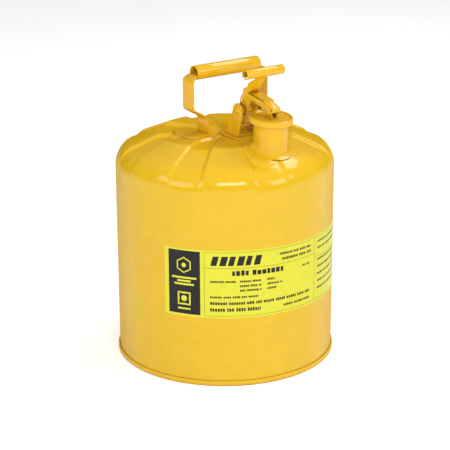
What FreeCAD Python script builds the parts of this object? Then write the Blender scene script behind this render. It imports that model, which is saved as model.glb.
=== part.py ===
import FreeCAD, Part
import math
import os

V = FreeCAD.Vector

# Five-gallon flammable-liquid safety can. Millimetres, +Z up, origin at the centre of the
# ring that the can stands on. The spout is towards -Y and the carrying handle lies along X.

# Body: a drawn steel cylinder and dome
BODY_R = 147.0
SHEET = 0.8
SHOULDER_R = 32.0
SHOULDER_Z = 263.0
CONE_DEG = 22.2
CONE_TOP_R = 92.0
CROWN_RISE = 2.5
CROWN_FLAT_R = 6.0
RIB_COUNT = 8
RIB_FIRST_DEG = -80.0
RIB_HALF_DEG = 14.8
RIB_APEX_R = 10.0
RIB_HEIGHT = 3.5
RIB_END_Z = 267.0

# Bottom plate, double seamed to the body
SEAM_R = 149.25
SEAM_H = 7.0
SEAM_FOLD = 1.6
BOTTOM_RECESS = 5.0

# Pouring spout
SPOUT_Y = -98.0
NECK_R = 22.5
NECK_WALL = 1.2
LIP_R = 24.6
LIP_TOP_Z = 336.0
MOUTH_SLOPE_DEG = 5.5
FLANGE_T = 1.2

# Flame arrester in the spout
CAGE_R = 19.0
CAGE_WALL = 0.8
CAGE_TOP_Z = 330.0
CAGE_BOTTOM_Z = 262.0
CAGE_SLOTS = 16
CAGE_SLOT_W = 1.8
SCREEN_R = 17.9
SCREEN_WALL = 0.5

# Lid
LID_R = 28.7
LID_TOP_Z = 343.0
LID_RIM_H = 7.5
LID_SHEET = 1.0
LID_DISC_Z = 340.8
GASKET_R = 26.6

# Lever and its pivot
PIVOT_Y = -50.0
PIVOT_Z = 345.5
PIN_R = 3.0
RUNNING_FIT = 0.05
EAR_IN = 15.5
EAR_T = 1.5
LEVER_HALF = 8.0
LEVER_T = 1.5
ARM_HALF = 6.5
LID_PIN_Y = -101.0
LID_PIN_Z = 350.5
LID_PIN_R = 1.6
BAR_Y = -83.0
BAR_Z = 400.0
BAR_R = 6.2
BAR_LENGTH = 61.0
BAR_SHEET = 1.2

# Torsion spring on the pivot pin
WIRE_R = 0.8
COIL_R = 5.6
COIL_TURNS = 3
COIL_PITCH = 1.75
TIE_Y = -41.6
TIE_Z = 321.0
TIE_R = 2.0
BAIL_Y = -47.6
BAIL_Z = 364.0

# Carrying handle
HANDLE_Y = -3.0
STRAP_W = 23.0
STRAP_T = 2.5
LEG_X = 62.2
LOWER_LEG_X = 39.0
GRIP_Z = 392.0
GRIP_R = 9.5
GRIP_WALL = 1.2
GRIP_HALF = 52.0
FOOT_HALF = [
    (36.5, -15.0), (40.0, -19.5), (60.0, -19.5), (66.0, -16.0), (68.5, -9.0),
    (68.5, 18.0), (65.0, 27.0), (58.0, 36.0), (44.0, 37.0), (36.5, 30.0),
]

# Label
LABEL_T = 0.2
LABEL_LOW_Z = 95.0
LABEL_HIGH_Z = 187.3
LABEL_FROM_DEG = -158.9
LABEL_SWEEP_DEG = 155.0


def box(x0, x1, y0, y1, z0, z1):
    """Axis-aligned box between two corners."""
    return Part.makeBox(x1 - x0, y1 - y0, z1 - z0, V(x0, y0, z0))


def tube(r_out, r_in, z0, z1, x=0.0, y=0.0):
    """Upright tube about a vertical axis."""
    outer = Part.makeCylinder(r_out, z1 - z0, V(x, y, z0))
    return outer.cut(Part.makeCylinder(r_in, z1 - z0 + 2, V(x, y, z0 - 1)))


def disc(r, z0, z1, x=0.0, y=0.0):
    """Upright solid disc."""
    return Part.makeCylinder(r, z1 - z0, V(x, y, z0))


def rod_x(r, x0, x1, y, z):
    """Round rod along X."""
    return Part.makeCylinder(r, x1 - x0, V(x0, y, z), V(1, 0, 0))


def sleeve_x(r_out, r_in, x0, x1, y, z):
    """Round sleeve along X."""
    return rod_x(r_out, x0, x1, y, z).cut(rod_x(r_in, x0 - 1, x1 + 1, y, z))


def dome_head(r, height, x, y, z, side):
    """Low domed rivet head on the end of a rod along X, facing side (+1 or -1)."""
    sphere_r = (r * r + height * height) / (2 * height)
    centre = V(x + side * (height - sphere_r), y, z)
    ball = Part.makeSphere(sphere_r, centre)
    keep = box(min(x, x + side * height), max(x, x + side * height), y - r, y + r, z - r, z + r)
    return ball.common(keep)


def extrude_outline(points, direction):
    """Solid prism on a closed straight-edged outline."""
    wire = Part.makePolygon(points + [points[0]])
    return Part.Face(wire).extrude(direction)


def plate_x(outline, x0, x1):
    """Flat plate across X; the outline gives (distance towards the spout, height) pairs."""
    points = [V(x0, -s, z) for s, z in outline]
    return extrude_outline(points, V(x1 - x0, 0, 0))


def plan_prism(outline, z0, z1):
    """Upright prism on a plan outline of (x, y) pairs."""
    return extrude_outline([V(x, y, z0) for x, y in outline], V(0, 0, z1 - z0))


def rounded_prism(outline, radius, z0, z1):
    """Upright prism with its vertical edges rounded."""
    prism = plan_prism(outline, z0, z1)
    upright = [e for e in prism.Edges if abs(e.Vertexes[0].Z - e.Vertexes[-1].Z) > 1]
    return prism.makeFillet(radius, upright)


def strip(path, thickness, bend, y0, y1):
    """Bent sheet strip: a path of (x, z) corners, centred on the sheet, extruded along Y."""
    points = [V(x, 0, z) for x, z in path]
    left = []
    right = []
    half = thickness / 2
    for i, point in enumerate(points):
        before = (point - points[i - 1]).normalize() if i > 0 else None
        after = (points[i + 1] - point).normalize() if i < len(points) - 1 else None
        if before is None or after is None:
            along = after if before is None else before
            side = V(-along.z, 0, along.x)
            left.append([point + side * half])
            right.append([point - side * half])
            continue
        turn = math.atan2(before.x * after.z - before.z * after.x, before.dot(after))
        sign = 1 if turn > 0 else -1
        reach = bend * math.tan(abs(turn) / 2)
        start = point - before * reach
        normal = V(-before.z, 0, before.x) * sign
        centre = start + normal * bend
        outer = []
        inner = []
        for k in range(3):
            angle = abs(turn) * k / 2
            spoke = normal * (-math.cos(angle)) + before * math.sin(angle)
            outer.append(centre + spoke * (bend + half))
            inner.append(centre + spoke * (bend - half))
        left.append(inner if sign > 0 else outer)
        right.append(outer if sign > 0 else inner)
    edges = side_edges(left) + [Part.makeLine(left[-1][-1], right[-1][-1])]
    edges += side_edges(right) + [Part.makeLine(right[0][0], left[0][0])]
    face = Part.Face(Part.Wire(Part.__sortEdges__(edges)))
    face.translate(V(0, y0, 0))
    return face.extrude(V(0, y1 - y0, 0))


def side_edges(groups):
    """Lines between bends and an arc at each bend, along one side of a strip."""
    edges = []
    for i, group in enumerate(groups):
        if len(group) == 3:
            edges.append(Part.Arc(group[0], group[1], group[2]).toShape())
        if i < len(groups) - 1:
            edges.append(Part.makeLine(group[-1], groups[i + 1][0]))
    return edges


def dome_solid(drop, inset):
    """Solid cylinder and dome, lowered by drop and shrunk inwards by inset."""
    slope = math.radians(CONE_DEG)
    radius = SHOULDER_R - inset
    arc_x = BODY_R - SHOULDER_R
    arc_z = SHOULDER_Z - drop
    tangent = V(arc_x + radius * math.sin(slope), 0, arc_z + radius * math.cos(slope))
    halfway = math.radians(90 - CONE_DEG) / 2
    mid = V(arc_x + radius * math.cos(halfway), 0, arc_z + radius * math.sin(halfway))
    edge_z = tangent.z + (tangent.x - CONE_TOP_R) * math.tan(slope)
    crown = V(0, 0, edge_z + CROWN_RISE)
    flat = V(CROWN_FLAT_R, 0, edge_z + CROWN_RISE)
    edge = V(CONE_TOP_R, 0, edge_z)
    wall_top = V(BODY_R - inset, 0, arc_z)
    wall_low = V(BODY_R - inset, 0, 0)
    edges = [
        Part.makeLine(V(0, 0, 0), wall_low),
        Part.makeLine(wall_low, wall_top),
        Part.Arc(wall_top, mid, tangent).toShape(),
        Part.makeLine(tangent, edge),
        Part.makeLine(edge, flat),
        Part.makeLine(flat, crown),
        Part.makeLine(crown, V(0, 0, 0)),
    ]
    solid = Part.Face(Part.Wire(edges)).revolve(V(0, 0, 0), V(0, 0, 1), 360)
    solid.rotate(V(0, 0, 0), V(0, 0, 1), RIB_FIRST_DEG + 180.0 / RIB_COUNT)
    return solid


def rib_wedges(inset):
    """Prisms over the raised ribs, narrowed on both sides and at the outer end by inset."""
    half = math.radians(RIB_HALF_DEG)
    apex = RIB_APEX_R + inset / math.sin(half)
    far = 165.0
    spread = (far - apex) * math.tan(half)
    wedge = plan_prism([(apex, 0), (far, -spread), (far, spread)], RIB_END_Z + inset, 320)
    wedges = []
    for i in range(RIB_COUNT):
        turned = wedge.copy()
        turned.rotate(V(0, 0, 0), V(0, 0, 1), RIB_FIRST_DEG + i * 360.0 / RIB_COUNT)
        wedges.append(turned)
    return Part.makeCompound(wedges)


def ribbed_solid(inset):
    """The body's envelope: plain dome with the raised ribs on it."""
    low = dome_solid(RIB_HEIGHT, inset)
    raised = dome_solid(0, inset).common(rib_wedges(inset))
    return low.fuse(raised).removeSplitter()


def body_shell():
    """One-piece drawn cylinder and dome, open at the bottom, with the spout's hole."""
    low_z = SEAM_FOLD
    outer = ribbed_solid(0)
    inner = ribbed_solid(SHEET)
    shell = outer.cut(inner)
    shell = shell.cut(disc(BODY_R + 5, -1, low_z))
    return shell.cut(disc(NECK_R, 250, 330, 0, SPOUT_Y))


def bottom_plate():
    """Recessed bottom with its rim folded round the body's lower edge."""
    fold = tube(SEAM_R, BODY_R - SHEET - SEAM_FOLD, 0, SEAM_H)
    fold = fold.cut(tube(BODY_R, BODY_R - SHEET, SEAM_FOLD, SEAM_H + 1))
    plate = disc(BODY_R - SHEET - SEAM_FOLD, BOTTOM_RECESS, BOTTOM_RECESS + SHEET)
    rounded = [e for e in fold.Edges if e.Length > 2 * math.pi * SEAM_R - 1]
    return fold.makeFillet(0.8, rounded).fuse(plate).removeSplitter()


def flange_outline():
    """Plan of the spout's flange: narrow under the bracket, wide round the neck."""
    half = [(23, -13), (23, -62), (36, -90), (36, -110), (27, -121.5)]
    return half + [(-x, y) for x, y in reversed(half)]


def on_mouth(shape, turn=MOUTH_SLOPE_DEG):
    """Lay a level part on the spout's slanting mouth, which is lowest at the front."""
    tilted = shape.copy()
    tilted.rotate(V(0, SPOUT_Y - LID_R, LIP_TOP_Z), V(1, 0, 0), turn)
    return tilted


def pouring_spout():
    """Neck and flange drawn in one piece, with a rolled lip and a ledge for the arrester."""
    skin = dome_solid(-FLANGE_T, 0).cut(dome_solid(0, 0))
    flange = skin.common(rounded_prism(flange_outline(), 8, 270, 330))
    bore_r = NECK_R - NECK_WALL
    neck = disc(NECK_R, 289, LIP_TOP_Z + 10, 0, SPOUT_Y)
    neck = neck.cut(on_mouth(disc(LIP_R + 10, LIP_TOP_Z, LIP_TOP_Z + 30, 0, SPOUT_Y)))
    lip = disc(LIP_R, LIP_TOP_Z - 3.2, LIP_TOP_Z, 0, SPOUT_Y)
    lip = lip.makeFillet(1.2, [e for e in lip.Edges if e.Length > 6 * LIP_R])
    bore = disc(bore_r, 280, LIP_TOP_Z + 10, 0, SPOUT_Y)
    ledge = tube(bore_r, CAGE_R + 1.2, CAGE_TOP_Z - 2.5, CAGE_TOP_Z - 1, 0, SPOUT_Y)
    return flange.multiFuse([neck, on_mouth(lip)]).cut(bore).fuse(ledge).removeSplitter()


def arrester_cage():
    """Slotted steel basket that hangs in the neck and carries the screen."""
    inner_r = CAGE_R - CAGE_WALL
    wall = tube(CAGE_R, inner_r, CAGE_BOTTOM_Z, CAGE_TOP_Z, 0, SPOUT_Y)
    half = CAGE_SLOT_W / 2
    for i in range(CAGE_SLOTS // 2):
        slot = box(-CAGE_R - 2, CAGE_R + 2, -half, half, CAGE_BOTTOM_Z + 8, CAGE_TOP_Z - 9)
        slot.rotate(V(0, 0, 0), V(0, 0, 1), i * 360.0 / CAGE_SLOTS)
        slot.translate(V(0, SPOUT_Y, 0))
        wall = wall.cut(slot)
    rim = tube(NECK_R - NECK_WALL - 0.1, inner_r, CAGE_TOP_Z - 1, CAGE_TOP_Z, 0, SPOUT_Y)
    floor = disc(CAGE_R, CAGE_BOTTOM_Z, CAGE_BOTTOM_Z + CAGE_WALL, 0, SPOUT_Y)
    return wall.multiFuse([rim, floor]).removeSplitter()


def arrester_screen():
    """Closed cylinder of wire gauze inside the cage."""
    low = CAGE_BOTTOM_Z + CAGE_WALL
    wall = tube(SCREEN_R, SCREEN_R - SCREEN_WALL, low, CAGE_TOP_Z - 1, 0, SPOUT_Y)
    floor = disc(SCREEN_R, low, low + SCREEN_WALL, 0, SPOUT_Y)
    return wall.fuse(floor).removeSplitter()


def arrester_ring():
    """Wire ring that holds the arrester's rim down on its ledge."""
    wire_r = 0.75
    ring_r = NECK_R - NECK_WALL - wire_r
    return Part.makeTorus(ring_r, wire_r, V(0, SPOUT_Y, CAGE_TOP_Z + wire_r))


def lid_cap():
    """Pressed steel cap: flat disc, raised bead round it and a skirt over the lip."""
    low = LID_TOP_Z - LID_RIM_H
    skirt = tube(LID_R, LID_R - LID_SHEET, low, LID_DISC_Z, 0, SPOUT_Y)
    bead = tube(LID_R, LID_R - 2.8, LID_DISC_Z - LID_SHEET, LID_TOP_Z, 0, SPOUT_Y)
    top = [e for e in bead.Edges if e.BoundBox.ZMin > LID_TOP_Z - 0.1 and e.Length > 20]
    bead = bead.makeFillet(1.1, top)
    plate = disc(LID_R - 1.5, LID_DISC_Z - LID_SHEET, LID_DISC_Z, 0, SPOUT_Y)
    plate = plate.cut(disc(2.5, LID_DISC_Z - 5, LID_DISC_Z + 5, 0, SPOUT_Y))
    return on_mouth(skirt.multiFuse([bead, plate]).removeSplitter())


def lid_gasket():
    """Flat rubber disc that closes on the spout's lip."""
    gasket = disc(GASKET_R, LIP_TOP_Z + RUNNING_FIT, LID_DISC_Z - LID_SHEET, 0, SPOUT_Y)
    return on_mouth(gasket.cut(disc(2.5, LIP_TOP_Z - 5, LID_DISC_Z + 5, 0, SPOUT_Y)))


def gasket_retainer():
    """Steel washer that holds the gasket against the cap."""
    z1 = LIP_TOP_Z + RUNNING_FIT
    washer = disc(14.0, z1 - 1.2, z1, 0, SPOUT_Y)
    return on_mouth(washer.cut(disc(2.5, z1 - 5, z1 + 5, 0, SPOUT_Y)))


def lid_rivet():
    """Rivet through retainer, gasket, cap and bracket."""
    low = LIP_TOP_Z + RUNNING_FIT - 1.2
    high = LID_DISC_Z + LEVER_T
    shank = disc(2.5, low, high, 0, SPOUT_Y)
    lower_head = disc(4.2, low - 1.4, low, 0, SPOUT_Y)
    lower_head = lower_head.makeFillet(0.9, rim_edges(lower_head, low - 1.4))
    upper_head = disc(3.1, high, high + 1.2, 0, SPOUT_Y)
    upper_head = upper_head.makeFillet(0.8, rim_edges(upper_head, high + 1.2))
    return on_mouth(shank.multiFuse([lower_head, upper_head]).removeSplitter())


def rim_edges(shape, z):
    """Round edges of a shape that lie at one height."""
    level = []
    for edge in shape.Edges:
        bounds = edge.BoundBox
        if abs(bounds.ZMin - z) < 0.01 and bounds.ZLength < 0.01 and edge.Length > 1:
            level.append(edge)
    return level


def lid_bracket():
    """Small clevis on the lid that the lever's arm pulls on."""
    base = box(-4.9, 4.9, LID_PIN_Y - 7, SPOUT_Y + 9, LID_DISC_Z, LID_DISC_Z + LEVER_T)
    base = base.cut(disc(2.5, LID_DISC_Z - 5, LID_DISC_Z + 5, 0, SPOUT_Y))
    pin = on_mouth(Part.Vertex(0, LID_PIN_Y, LID_PIN_Z), -MOUTH_SLOPE_DEG)
    s = -pin.Y
    top = pin.Z + 4.2
    rear = [(s - 6, LID_DISC_Z), (s - 4.2, pin.Z), (s - 2.5, top)]
    outline = rear + [(2 * s - a, z) for a, z in reversed(rear)]
    ears = [plate_x(outline, -4.9, -3.4), plate_x(outline, 3.4, 4.9)]
    bracket = on_mouth(base.multiFuse(ears))
    return bracket.cut(rod_x(LID_PIN_R, -8, 8, LID_PIN_Y, LID_PIN_Z)).removeSplitter()


def headed_pin(r, head_r, head_h, half, y, z):
    """Rivet-type pin along X with a domed head at each end."""
    shank = rod_x(r, -half, half, y, z)
    heads = [dome_head(head_r, head_h, side * half, y, z, side) for side in (-1, 1)]
    return shank.multiFuse(heads).removeSplitter()


def lid_arm():
    """Inner channel of the lever, running forward and down to the lid."""
    bottom = [(69.5, 359.2), (79.9, 356.9), (95.5, 352.6), (97.4, 347.8), (101, 346.4), (104.6, 347.8)]
    outline = bottom + [(109.5, 352.5), (109.5, 357.2), (94, 363.6), (68, 368.0)]
    solid = plate_x(outline, -ARM_HALF, ARM_HALF)
    hollow_low = [(60, 330), (60, 367.85), (68, 366.5), (94, 362.1), (108, 356.2), (108, 330)]
    inside = plate_x(hollow_low, -ARM_HALF + LEVER_T, ARM_HALF - LEVER_T)
    channel = solid.cut(inside)
    channel = channel.cut(rod_x(LID_PIN_R + RUNNING_FIT, -9, 9, LID_PIN_Y, LID_PIN_Z))
    return channel.cut(rod_x(1.2, -9, 9, -106.6, 355.0))


def trigger_lever():
    """Outer channel of the lever: side plates on the pivot, upright stem and top web."""
    back = [(77.9, 392.0), (60.9, 382.8), (58.8, 377.2), (50.8, 374.7), (46.8, 355.0), (42.6, 350.0)]
    low = [(41.8, 345.0), (43.4, 340.6), (47.0, 338.0), (52.0, 337.6), (56.6, 340.4)]
    low += [(60.0, 347.5), (66.5, 361.6)]
    front = [(94.0, 360.6), (94.0, 365.1), (63.0, 370.4)]
    side = back + low + front
    stem = [(63.0, 370.4), (85.99, 403.81), (84.75, 404.66), (61.76, 371.25)]
    web = [(63.0, 370.4), (94.0, 365.1), (94.0, 363.6), (61.7, 369.1), (61.76, 371.25)]
    pieces = [plate_x(side, ARM_HALF, LEVER_HALF), plate_x(stem, -LEVER_HALF, LEVER_HALF)]
    pieces.append(plate_x(web, -LEVER_HALF, LEVER_HALF))
    lever = plate_x(side, -LEVER_HALF, -ARM_HALF).multiFuse(pieces).removeSplitter()
    return lever.cut(rod_x(PIN_R + RUNNING_FIT, -20, 20, PIVOT_Y, PIVOT_Z))


def trigger_bar():
    """Rolled finger bar across the top of the stem, open along its underside."""
    half = BAR_LENGTH / 2
    bar = sleeve_x(BAR_R, BAR_R - BAR_SHEET, -half, half, BAR_Y, BAR_Z)
    gap = box(-half - 1, half + 1, -2.2, 2.2, -BAR_R - 1, 0)
    gap.rotate(V(0, 0, 0), V(1, 0, 0), 35)
    gap.translate(V(0, BAR_Y, BAR_Z))
    return bar.cut(gap)


def clevis_bracket():
    """U-shaped bracket behind the spout with an ear on each side of the lever."""
    outline = [(51.0, 300), (22.4, 300), (22.4, 309), (26.7, 330.2), (37.5, 340.0), (42.6, 352.2),
               (57.0, 352.6), (59.9, 345.5)]
    seat = dome_solid(-FLANGE_T, 0)
    pieces = []
    for side in (-1, 1):
        x0 = EAR_IN if side > 0 else -EAR_IN - EAR_T
        pieces.append(plate_x(outline, x0, x0 + EAR_T))
        pieces.append(rod_x(9.9, x0, x0 + EAR_T, PIVOT_Y, PIVOT_Z))
        tab_x = EAR_IN + EAR_T if side > 0 else -EAR_IN - EAR_T - 3
        pieces.append(box(tab_x, tab_x + 3, -26.6, -25.1, 320, 329))
    web_skin = dome_solid(-FLANGE_T - EAR_T, 0).cut(seat)
    web = web_skin.common(box(-EAR_IN - EAR_T, EAR_IN + EAR_T, -51, -22.4, 290, 330))
    bracket = pieces[0].multiFuse(pieces[1:] + [web]).cut(seat)
    bracket = bracket.cut(rod_x(PIN_R, -30, 30, PIVOT_Y, PIVOT_Z))
    return bracket.cut(rod_x(TIE_R, -30, 30, TIE_Y, TIE_Z)).removeSplitter()


def tie_rod():
    """Rod between the ears that the spring's fixed legs bear on."""
    half = EAR_IN + EAR_T + 0.6
    rod = rod_x(TIE_R, -half, half, TIE_Y, TIE_Z)
    ends = [e for e in rod.Edges if e.BoundBox.XLength < 0.01]
    return rod.makeFillet(0.5, ends)


def pivot_spacers():
    """Sleeves on the pivot pin that keep the lever central."""
    reach = ARM_HALF - RUNNING_FIT
    inner = PIN_R
    sleeves = [sleeve_x(4.2, inner, -reach, reach, PIVOT_Y, PIVOT_Z)]
    x0 = LEVER_HALF + RUNNING_FIT
    for side in (-1, 1):
        start = x0 if side > 0 else -EAR_IN
        sleeves.append(sleeve_x(4.2, inner, start, start + EAR_IN - x0, PIVOT_Y, PIVOT_Z))
    return Part.makeCompound(sleeves)


def torsion_spring():
    """Double torsion spring: a coil on each side of the lever, joined by a bail behind it."""
    helix = Part.makeHelix(COIL_PITCH, COIL_PITCH * COIL_TURNS, COIL_R)
    lean = COIL_PITCH / (2 * math.pi * COIL_R)
    ring = Part.Wire(Part.makeCircle(WIRE_R, V(COIL_R, 0, 0), V(0, 1, lean)))
    coil = Part.Wire(helix.Edges).makePipeShell([ring], True, True)
    coil.rotate(V(0, 0, 0), V(1, 1, 1), 120)
    outer_x = EAR_IN - 0.35 - WIRE_R
    coil.translate(V(-outer_x, PIVOT_Y, PIVOT_Z))
    inner_x = outer_x - COIL_PITCH * COIL_TURNS
    back_y = PIVOT_Y + COIL_R
    foot = wire_run(V(-outer_x + 0.1, back_y - 0.05, PIVOT_Z + 0.6), V(-outer_x, back_y, TIE_Z - 4))
    bail = V(-inner_x, BAIL_Y, BAIL_Z)
    rise = wire_run(V(-inner_x, back_y, PIVOT_Z), bail)
    half = coil.multiFuse([foot, rise])
    other = half.mirror(V(0, 0, 0), V(1, 0, 0))
    across = wire_run(bail, V(inner_x, BAIL_Y, BAIL_Z))
    return half.multiFuse([other, across])


def wire_run(start, end):
    """Straight run of spring wire with a rounded end at each point."""
    along = end - start
    run = Part.makeCylinder(WIRE_R, along.Length, start, along)
    return run.multiFuse([Part.makeSphere(WIRE_R, start), Part.makeSphere(WIRE_R, end)])


def handle_strap():
    """Steel strap: two cranked legs with welded feet and a narrow run through the grip."""
    upper = LEG_X - STRAP_T / 2
    lower = LOWER_LEG_X - STRAP_T / 2
    seat_z = GRIP_Z - 3.15
    right = [(lower, 300), (lower, 332), (upper, 345), (upper, 384), (upper - 5.6, seat_z)]
    left = [(-x, z) for x, z in right]
    y0 = HANDLE_Y - STRAP_W / 2
    strap = strip(left + right[::-1], STRAP_T, 3.0, y0, y0 + STRAP_W)
    for side in (-1, 1):
        outline = [(57.4, side * 20), (57.4, side * 14.6), (52.6, side * 6.9)]
        outline += [(0, side * 6.9), (0, side * 20)]
        for flip in (-1, 1):
            waste = plan_prism([(flip * x, HANDLE_Y + y) for x, y in outline], 380, 400)
            strap = strap.cut(waste)
    skin = dome_solid(-STRAP_T, 0)
    feet = []
    for side in (-1, 1):
        pad = plan_prism([(side * x, y) for x, y in FOOT_HALF], 280, 330)
        feet.append(pad.common(skin))
    return strap.multiFuse(feet).cut(dome_solid(0, 0)).removeSplitter()


def grip_sleeve():
    """Rolled tube round the strap, with its seam along the underside."""
    sleeve = sleeve_x(GRIP_R, GRIP_R - GRIP_WALL, -GRIP_HALF, GRIP_HALF, HANDLE_Y, GRIP_Z)
    seam = box(-GRIP_HALF - 1, GRIP_HALF + 1, HANDLE_Y - 1.0, HANDLE_Y + 1.0, GRIP_Z - 12, GRIP_Z - 5)
    return sleeve.cut(seam)


def label():
    """Printed label wrapped round the body's side."""
    height = LABEL_HIGH_Z - LABEL_LOW_Z
    foot = V(0, 0, LABEL_LOW_Z)
    outer = Part.makeCylinder(BODY_R + LABEL_T, height, foot, V(0, 0, 1), LABEL_SWEEP_DEG)
    sheet = outer.cut(Part.makeCylinder(BODY_R, height + 2, V(0, 0, LABEL_LOW_Z - 1)))
    sheet.rotate(V(0, 0, 0), V(0, 0, 1), LABEL_FROM_DEG)
    return sheet


def main():
    """Write one STEP file for each piece."""
    parts = {
        "body_shell": body_shell(),
        "bottom_plate": bottom_plate(),
        "pouring_spout": pouring_spout(),
        "arrester_cage": arrester_cage(),
        "arrester_screen": arrester_screen(),
        "arrester_ring": arrester_ring(),
        "lid_cap": lid_cap(),
        "lid_gasket": lid_gasket(),
        "gasket_retainer": gasket_retainer(),
        "lid_rivet": lid_rivet(),
        "lid_bracket": lid_bracket(),
        "lid_pin": headed_pin(LID_PIN_R, 2.7, 1.1, ARM_HALF + RUNNING_FIT, LID_PIN_Y, LID_PIN_Z),
        "lid_arm": lid_arm(),
        "trigger_lever": trigger_lever(),
        "trigger_bar": trigger_bar(),
        "clevis_bracket": clevis_bracket(),
        "spring_tie_rod": tie_rod(),
        "pivot_pin": headed_pin(PIN_R, 4.7, 2.6, EAR_IN + EAR_T, PIVOT_Y, PIVOT_Z),
        "pivot_spacers": pivot_spacers(),
        "torsion_spring": torsion_spring(),
        "handle_strap": handle_strap(),
        "grip_sleeve": grip_sleeve(),
        "label": label(),
    }
    os.makedirs("parts", exist_ok=True)
    for name, shape in parts.items():
        shape.exportStep("parts/" + name + ".step")
        print(name, len(shape.Solids), shape.isValid(), round(shape.Volume, 1))


main()
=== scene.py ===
import bpy
import bmesh
import math
import random
import numpy as np
from mathutils import Matrix, Vector


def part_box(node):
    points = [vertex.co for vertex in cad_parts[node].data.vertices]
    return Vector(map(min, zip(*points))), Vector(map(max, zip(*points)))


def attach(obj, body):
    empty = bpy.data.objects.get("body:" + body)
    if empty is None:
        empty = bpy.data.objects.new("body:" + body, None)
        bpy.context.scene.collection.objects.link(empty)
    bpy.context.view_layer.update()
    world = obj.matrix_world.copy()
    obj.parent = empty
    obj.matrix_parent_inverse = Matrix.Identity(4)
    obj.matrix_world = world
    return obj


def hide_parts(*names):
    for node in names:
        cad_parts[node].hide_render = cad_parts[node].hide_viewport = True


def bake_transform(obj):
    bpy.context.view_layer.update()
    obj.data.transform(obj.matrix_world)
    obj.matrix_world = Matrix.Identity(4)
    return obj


# Looks of a safety can for flammable liquid. Lengths are millimetres in the CAD frame unless a
# name or comment says otherwise, and the mesh helpers scale them to metres. +Z is up, the spout
# is towards -Y and the carrying handle runs along X.
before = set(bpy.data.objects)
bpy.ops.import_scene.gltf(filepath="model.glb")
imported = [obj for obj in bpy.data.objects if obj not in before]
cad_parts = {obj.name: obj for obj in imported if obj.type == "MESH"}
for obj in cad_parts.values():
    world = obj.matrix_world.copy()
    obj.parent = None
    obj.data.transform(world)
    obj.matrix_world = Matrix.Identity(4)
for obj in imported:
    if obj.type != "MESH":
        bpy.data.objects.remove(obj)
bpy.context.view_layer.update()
MM = 0.001


def node_box(name):
    """A CAD node's box in millimetres, as two numpy corners."""
    low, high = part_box(name)
    return np.array(low) / MM, np.array(high) / MM


def node_centre(name, axis):
    """Middle of a CAD node's box along one axis, in millimetres."""
    low, high = node_box(name)
    return (low[axis] + high[axis]) / 2


# ---- sizes from the CAD frame
BODY_R = node_box("body_shell")[1][0]
BODY_LOW_Z = node_box("body_shell")[0][2]
SEAM_R = node_box("bottom_plate")[1][0]
SEAM_H = node_box("bottom_plate")[1][2]
SPOUT_Y = node_centre("arrester_cage", 1)
LID_R = node_box("lid_cap")[1][0]
PIVOT_Y = node_centre("pivot_pin", 1)
PIVOT_Z = node_centre("pivot_pin", 2)
HANDLE_Y = node_centre("grip_sleeve", 1)
GRIP_Z = node_centre("grip_sleeve", 2)
GRIP_R = (node_box("grip_sleeve")[1][1] - node_box("grip_sleeve")[0][1]) / 2
GRIP_HALF = node_box("grip_sleeve")[1][0]
BAR_Y = node_centre("trigger_bar", 1)
BAR_HALF = node_box("trigger_bar")[1][0]
BAR_TOP = node_box("trigger_bar")[1][2]
LABEL_LOW_Z = node_box("label")[0][2]
LABEL_HIGH_Z = node_box("label")[1][2]

# ---- sizes that the CAD boxes don't give
# Dome: a shoulder arc, a cone, a nearly flat crown, and wedge-shaped ribs
SHEET = 0.8
SHOULDER_R = 32.0
SHOULDER_Z = 263.0
CONE_DEG = 22.2
CONE_TOP_R = 92.0
CROWN_RISE = 2.5
RIB_COUNT = 8
RIB_FIRST_DEG = -80.0
RIB_HALF_DEG = 14.8
RIB_APEX_R = 10.0
RIB_HEIGHT = 3.5
RIB_BLEND = 5.0
RIB_FADE_Z = (225.0, SHOULDER_Z + 6.0)

# Spout and lid: heights are at the mouth's lowest point, at the front
NECK_R = 22.5
NECK_WALL = 1.2
NECK_FILLET = 6.0
LIP_R = 24.6
LIP_TOP_Z = 336.0
LEDGE_R = 20.2
LID_LOW_Z = 335.5
LID_TOP_Z = 343.0
LID_HOLE_R = 2.5
GASKET_R = 26.4
GASKET_WIDTH = 6.5
RETAINER_R = 14.0
RETAINER_HOLE_R = 2.6
MOUTH_SLOPE = math.tan(math.radians(5.5))
SLANT_FROM_Z = 305.0
SLANT_SPAN = 22.0
FLANGE_T = 1.2
FLANGE_CORNER_R = 10.0
FLANGE_HALF = [(23, -13), (23, -62), (36, -90), (36, -110), (27, -121.5)]

# Lever, arm and bracket: half widths outside and inside the channels, and pins as (y, z)
LEVER_HALF, LEVER_INNER = 8.0, 6.5
ARM_HALF, ARM_INNER = 6.5, 5.0
EAR_OUTER, EAR_INNER = 17.0, 15.5
EAR_R = 9.9
LID_PIN = (-101.0, 350.5)
ARM_RIVET = (-106.6, 355.0)
TIE_ROD = (-41.6, 321.0)
BAR_R = 6.2
TUBE_WALL = 1.2
WIRE_R = 0.8

# Handle: the strap's heights are at its foot, below and above its crank, and under its top bend
STRAP_T = 2.5
STRAP_W = 23.0
GRIPPED_HALF = 6.9
LEG_X = 62.2
LOWER_LEG_X = 39.0
FOOT_Z, CRANK_LOW_Z, CRANK_HIGH_Z, LEG_TOP_Z = 303.0, 332.0, 345.0, 383.6
FOOT_OUTLINE = [(36.5, -19.5), (62.0, -19.5), (68.0, -12.0), (68.5, 18.0), (59.0, 36.0), (42.0, 37.0),
                (36.5, 28.0)]
FOOT_MIDDLE = (52.0, 6.0)

# Bevel on folded sheet, and the distance in metres within which vertices are merged
EDGE_SOFT = 0.45
MERGE_M = 1e-7


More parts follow.
